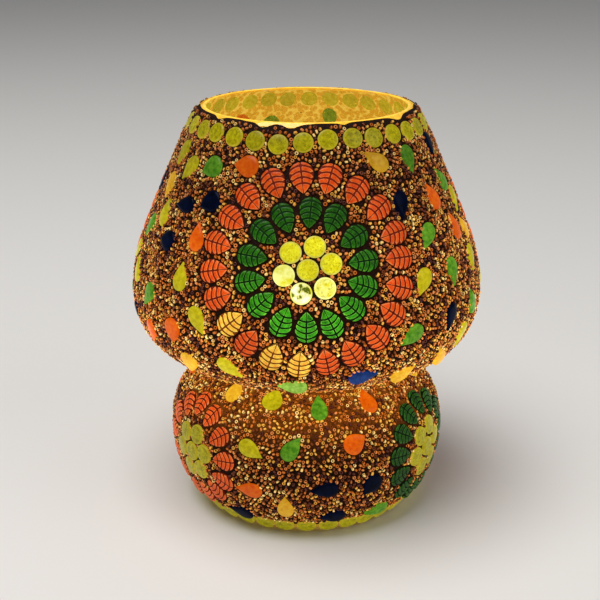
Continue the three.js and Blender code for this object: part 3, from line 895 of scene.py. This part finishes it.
# Painted shade: the dark glass of the beads' holes.
BEAD_HOLE_SHADE = (38, 15, 6)
FACING_SHARE = 0.32  # the part of the beads that lie with the hole outwards; the rest are on edge
PATCH_SIZE, PATCH_PULL = 9, 0.3  # how large patches of lighter and darker beads are, how marked
ZONES = [  # pieces of the bead field: name, lower edge, brightness of the bulb's light painted on them, node replaced
    ("bowl_beads", 11.4, 0.8, ["bowl_bead_field"]), ("waist_beads", 62, 1.1, []),
    ("shade_beads_low", 88, 1.25, ["shade_bead_field"]), ("shade_beads_middle", 124, 0.96, []),
    ("shade_beads_high", 170, 0.7, []),
]


def bead_form():
    """A seed bead along Z: a short ring, its hole marked 1 for painted shade."""
    hole = [(0.4, 0.34), (0.4, -0.34)]
    profile = [*hole, (0.62, -0.62), (0.98, -0.52), (1.14, 0), (0.98, 0.52), (0.62, 0.62)]
    return stack(turned(profile, 8), loop=True, marks=[1, 0, 0, 0, 0, 0, 0])


def tree_of(place):
    tree = KDTree(len(place))
    for i, p in enumerate(place):
        tree.insert(p, i)
    tree.balance()
    return tree


def near_tiles(place, tree):
    """Each tile with the beads near it: their numbers, the tile's axes, the beads' flat places,
    the nearest places on its outline, the gaps to them and the room to keep.
    """
    for origin, axes, outline, room in taken:
        near = np.array([i for _, i, _ in tree.find_range(origin, TILE_REACH)], int)
        if len(near):
            flat = (place[near] - origin) @ axes[:2].T
            yield (near, axes, flat, *outline_gap(flat, outline), room)


def settle(rounds=9):
    """Beads scattered over the mosaic, then pushed apart and off the tiles until they fit."""
    rng = np.random.default_rng(11)
    bottom, top = skin.s_at(BEADS_FOOT), skin.s_at(BED_TOP) - BEADS_EDGE
    rows = []
    for s in np.arange(bottom, top, ROW):
        count = int(2 * np.pi * skin.radius(s) / PITCH)
        even = rng.uniform(0, 360) + np.arange(count) * 360 / count
        spread = np.degrees(SIDE_SCATTER / skin.radius(s))
        turn = even + rng.uniform(-spread, spread, count)
        rows.append((s + rng.uniform(-ROW_SCATTER, ROW_SCATTER, count), turn))
    s, turn = map(np.concatenate, zip(*rows))
    size = rng.uniform(0.78, 0.98, len(s)) * np.where(rng.random(len(s)) < BIG_SHARE, BIG_SIZE, 1)
    keep = np.ones(len(s), bool)
    place = skin.frames(s, turn)[0]
    for near, _, _, _, gap, room in near_tiles(place, tree_of(place)):
        keep[near[gap < room - OVERLAP]] = False
    s, turn, size = s[keep], turn[keep], size[keep]
    for _ in range(rounds):
        place, around, up, _ = skin.frames(s, turn)
        tree, push = tree_of(place), np.zeros_like(place)
        for near, axes, flat, edge, gap, room in near_tiles(place, tree):
            close = gap < room
            away = (flat - edge)[close] * np.sign(gap[close])[:, None]
            away /= np.linalg.norm(away, axis=1)[:, None] + 1e-9
            push[near[close]] += (away * (room - gap[close])[:, None]) @ axes[:2]
        found = [tree.find_n(p, NEIGHBOURS + 1)[1:] for p in place]
        others = np.array([[i for _, i, _ in row] for row in found])
        reach = np.array([[d for _, _, d in row] for row in found])
        apart = place[:, None] - place[others]
        room = PITCH * (size[:, None] + size[others]) / 2
        short = np.clip(room - reach, 0, None) / (reach + 1e-9) * PUSH
        push += (apart * short[..., None]).sum(1)
        s = np.clip(s + (push * up).sum(1), bottom, top)
        turn = turn + np.degrees((push * around).sum(1) / skin.radius(s))
    place = skin.frames(s, turn)[0]
    tree, keep = tree_of(place), s <= top + 1 + bed_edge(turn)
    for near, _, _, _, gap, room in near_tiles(place, tree):
        keep[near[gap < room * NEAR_TILE]] = False
    for i, p in enumerate(place):
        close = tree.find_range(p, PITCH * NEAR_BEAD)
        if keep[i] and any(j < i and keep[j] for _, j, _ in close):
            keep[i] = False
    return s[keep], turn[keep], size[keep]


def beads():
    """The seed beads, a piece for each zone and tone of glass."""
    s, turn, size = settle()
    place, around, up, out = skin.frames(s, turn)
    count = len(s)
    rng = np.random.default_rng(5)
    facing = rng.random(count) < FACING_SHARE
    lean = np.where(facing, rng.uniform(0, 0.5, count), rng.uniform(1.2, 1.57, count))[:, None]
    spin = rng.uniform(0, 2 * np.pi, count)[:, None]
    level = around * np.cos(spin) + up * np.sin(spin)
    across = np.cross(out, level)
    hole = out * np.cos(lean) + level * np.sin(lean)
    axes = np.stack([across, np.cross(hole, across), hole], 1)
    lift = BED[1] + 0.05 + 0.3 * np.sin(lean) + rng.uniform(-0.05, 0.2, count)[:, None]
    origin = place + out * lift
    patch = np.array([perlin.noise(Vector(p) / PATCH_SIZE) for p in place])
    pick = np.clip(rng.random(count) - PATCH_PULL * patch, 0.02, 0.999)
    tone = np.searchsorted(np.cumsum([share for _, share, _ in TONES]), pick)
    height = place[:, 2] + rng.uniform(-4, 4, count)
    zone = np.searchsorted([low for _, low, _, _ in ZONES[1:]], height)
    form = bead_form()
    corners = form.verts[form.loops.reshape(-1, 4)]
    normal = np.cross(corners[:, 2] - corners[:, 0], corners[:, 3] - corners[:, 1])
    normal /= np.linalg.norm(normal, axis=1)[:, None]
    # Each face gets painted light or painted shade by how far it faces out.
    outward = np.einsum("fi,nij,nj->nf", normal, axes, out)
    darkest = len(PAINTED_FACE_LIGHT) - 1
    marks = np.select([outward > least for least, _ in PAINTED_FACE_LIGHT], range(len(PAINTED_FACE_LIGHT)), darkest)
    marks[:, form.marks == 1] = len(PAINTED_FACE_LIGHT)
    for i, (name, _, light, replaced) in enumerate(ZONES):
        # Painted shade in the beads' holes.
        dark = bead_glass(f"{name}_hole", BEAD_HOLE_SHADE, 0.3)
        for j, (colour, _, strength) in enumerate(TONES):
            chosen = (zone == i) & (tone == j)
            # Lit and shaded copies of the tone's glass, one for each share of painted light.
            glass = [bead_glass(f"{name}_glass_{j + 1}_{k}", colour, strength * light * share)
                     for k, (_, share) in enumerate(PAINTED_FACE_LIGHT)]
            batch = Batch()
            batch.stamp(form, origin[chosen], axes[chosen], size[chosen], marks=marks[chosen])
            batch.build(f"{name}_{j + 1}", [*glass, dark], "seed_beads", () if j else replaced)


# ---- the lamp fitting and the bulb

ZINC = metal("zinc_steel", (196, 198, 202), (150, 152, 158), 0.35)
BRASS = metal("brass", (214, 168, 80), (170, 124, 50), 0.28)
TIN = metal("tin", (190, 192, 196), (140, 142, 148), 0.4)
BAKELITE = moulded("bakelite", (26, 24, 23), 0.32)
RUBBER = moulded("rubber", (24, 24, 24), 0.8)
PORCELAIN = moulded("porcelain", (236, 232, 222), 0.22)
VITRITE = moulded("vitrite", (16, 16, 20), 0.15)
BULB_GLASS = clear_glass("bulb_glass", (255, 226, 160), 0.3, 0.8)
FILAMENT, filament_surface, _ = shader("filament", (255, 214, 130), 0.5)
glow(filament_surface, (255, 196, 110), 9.0)

CAD_LOOKS = [  # for the CAD's own pieces, by how their names start
    (ZINC, ("base_plate", "holder_bridge", "clamp", "holder_nipple", "nipple_nut")),
    (RUBBER, ("gasket", "cable_grommet")), (BRASS, ("centre_contact", "terminal")),
    (PORCELAIN, ("holder_core",)), (BULB_GLASS, ("bulb_stem",)),
    (TIN, ("filament_support", "filament_leads")), (FILAMENT, ("filament_",)),
]
for name, obj in NODES.items():
    look = next((look for look, starts in CAD_LOOKS if name.startswith(starts)), None)
    if look is not None:
        obj.data.materials.clear()
        obj.data.materials.append(look)

THREAD = {"pitch": 3.629, "depth": 1.0, "root": 12.1, "size": 64}  # E27, right-handed
BULB_WALL = 0.8
BULB_POLE = 0.5  # the radius at which the envelope's top is closed


def threaded(bottom, top, base, sign, steps=70):
    """Rings up a rolled thread: base is its plain radius, and sign says which way the crests go."""
    turn = 2 * np.pi * np.arange(THREAD["size"]) / THREAD["size"]
    profile = []
    for z in np.linspace(bottom, top, steps):
        fade = min(1, (z - bottom) / 2, (top - z) / 2)
        wave = np.cos(2 * np.pi * z / THREAD["pitch"] - turn)
        profile.append((base + sign * THREAD["depth"] * fade * (0.5 + sign * 0.5 * wave), z))
    return turned(profile, THREAD["size"])


def span(name):
    """The lowest and highest point of a CAD node, and its greatest radius, in mm."""
    low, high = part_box(name)
    return low[2] / MM, high[2] / MM, max(high[0], high[1]) / MM


def bulb_parts():
    """The bulb's cap, insulator, tip contact and glass."""
    size = THREAD["size"]
    bottom, top, _ = span("bulb_cap")
    outside = [(0.4, bottom), (9.6, bottom), (10.8, bottom + 0.4), (11.8, bottom + 1.6)]
    inside = [
        (12.9, top), (12.5, top - 0.3), (11.5, top - 1.6), (11.5, bottom + 4.6), (0.4, bottom + 4),
    ]
    rings = turned(outside, size) + threaded(bottom + 2.4, top - 2.2, THREAD["root"], 1)
    rings += turned([(12.4, top - 1.4), (13.1, top - 0.7), *inside], size)
    make("screw_cap", stack(rings), [BRASS], "bulb", "brass", ["bulb_cap"])
    low, high, _ = span("bulb_insulator")
    cone = [(0.4, low), (4.3, low), (5.2, low + 0.5), (9.8, high - 0.6), (10.4, high), (0.4, high)]
    form = stack(turned(cone, size))
    make("vitrite_cone", form, [VITRITE], "bulb", "black_glass", ["bulb_insulator"])
    low, high, _ = span("bulb_contact")
    bead = [
        (0.3, low), (1.6, low + 0.1), (3.0, low + 0.45), (4.0, low + 1.0), (4.4, low + 1.6),
        (4.4, high), (0.3, high),
    ]
    make("solder_tip", stack(turned(bead, 32)), [TIN], "bulb_tip", "solder", ["bulb_contact"])
    low, high, radius = span("bulb_envelope")
    centre = high - radius
    neck = [(11.8, low), (11.8, low + 4), (12.0, low + 8), (13.8, low + 15), (18.6, low + 24)]
    rises = np.radians(np.arange(-30, 90, 12))
    globe = [(radius * math.cos(a), centre + radius * math.sin(a)) for a in rises]
    outer = catmull([*neck, *globe, (BULB_POLE, high)], 6)
    way = directions(outer)
    inner = (outer + np.stack([-way[:, 1], way[:, 0]], -1) * BULB_WALL)[::-1]
    inner[0, 0] = BULB_POLE
    form = stack(turned([*outer, *inner], 72), loop=True)
    make("glass_globe", form, [BULB_GLASS], "bulb", "bulb_glass", ["bulb_envelope"])


def holder_parts():
    """The lamp holder's liner, skirt and domed cap."""
    low, high, _ = span("screw_shell")
    rings = threaded(low, high, 14.2, -1) + threaded(low, high, 13.6, -1)[::-1]
    make("threaded_liner", stack(rings, loop=True), [BRASS], "lamp", "brass", ["screw_shell"])
    low, high, wide = span("holder_shell")
    skirt = [(wide - 2.2, low), (wide, low), (wide, low + 4.6), (wide - 0.7, low + 5.6)]
    for rib in range(6):
        z = low + 7 + rib * 2.4
        groove, crest = wide - 1.3, wide - 0.8
        skirt += [(groove, z), (crest, z + 0.5), (crest, z + 1.2), (groove, z + 1.7)]
    rim = [
        (wide - 1.6, high - 1), (wide - 2.4, high), (15.4, high), (15.4, high - 2.2),
        (16.2, high - 2.6), (16.2, low + 6),
    ]
    lathe("holder_skirt", [*skirt, *rim], [BAKELITE], "black_bakelite", ["holder_shell"])
    low, high, wide = span("holder_cap")
    dome = [
        (5.2, low), (8, low), (8.9, low + 0.8), (9.6, low + 3), (12, low + 4.6), (16.6, low + 6.2),
        (18.8, low + 8), (wide, low + 10.4), (wide, high), (wide - 2.2, high),
        (wide - 2.3, low + 10.6), (15, low + 8.2), (9, low + 5.6), (5.2, low + 5.4),
    ]
    lathe("holder_dome", dome, [BAKELITE], "black_bakelite", ["holder_cap"])


# ---- the lamp

RIM_SAG = [(-14, 13, 2), (15, 9, -1.4), (130, 20, 1.2)]
INLET_AZIMUTH, INLET_HEIGHT, INLET_RADIUS = 120, 25, 7  # the round left free for the grommet

glass_shell()
grout_bed()
ring_of_discs("rim_discs", 209, 32, -1.7, 0.94, RIM_SAG, "rim_disc_ring")
ring_of_discs("foot_discs", 7.6, 34, 0, 0.96, [], "foot_disc_ring")
medallions()
drops("shade", SHADE_NEAR + SHADE_RIGHT + SHADE_LEFT,
      [(SHADE_NEAR, 120), (SHADE_NEAR, 240), (SHADE_RIGHT, 120), (SHADE_LEFT, 240)])
seat([skin.s_at(INLET_HEIGHT)], [INLET_AZIMUTH], 0, circle(INLET_RADIUS))
drops("bowl", BOWL_DROPS, [(BOWL_DROPS, 120), (BOWL_DROPS, 240)])
beads()
bulb_parts()
holder_parts()

# ---- stage

LIGHTS_AIM = (0, 0, 0.1)


def floor():
    half = 30
    corners = [(x * half, y * half, 0) for x, y in ((-1, -1), (1, -1), (1, 1), (-1, 1))]
    mesh = bpy.data.meshes.new("floor")
    mesh.from_pydata(corners, [], [(0, 1, 2, 3)])
    mesh.materials.append(shader("pale_floor", (232, 229, 224), 0.6)[0])
    obj = put("floor", mesh)


def area_light(name, place, size, power):
    """A round light that aims at the lamp's middle."""
    light = bpy.data.lights.new(name, "AREA")
    light.shape = "DISK"
    light.size = size
    light.energy = power
    obj = put(name, light)
    obj.location = place
    obj.rotation_euler = (Vector(LIGHTS_AIM) - Vector(place)).to_track_quat("-Z", "Y").to_euler()


def world(colour, strength):
    made = bpy.data.worlds.new("studio")
    made.use_nodes = True
    inputs = made.node_tree.nodes["Background"].inputs
    inputs["Color"].default_value = (*colour, 1)
    inputs["Strength"].default_value = strength
    scene.world = made


def camera():
    """Looks down on the lamp a little, from about 0.6 m in front."""
    data = bpy.data.cameras.new("camera")
    data.sensor_width = 36
    data.lens = 70
    obj = put("camera", data)
    obj.location = (-0.0035, -0.596, 0.320)
    obj.rotation_euler = (math.radians(90 - 19.4), 0, 0)
    scene.camera = obj


floor()
area_light("key", (-0.5, -0.5, 2.2), 1.8, 46)
area_light("fill", (1.5, -0.9, 1.3), 1.4, 6)
world((0.94, 0.96, 1.0), 0.2)
camera()
scene.view_settings.view_transform = "Standard"
scene.cycles.use_denoising = True
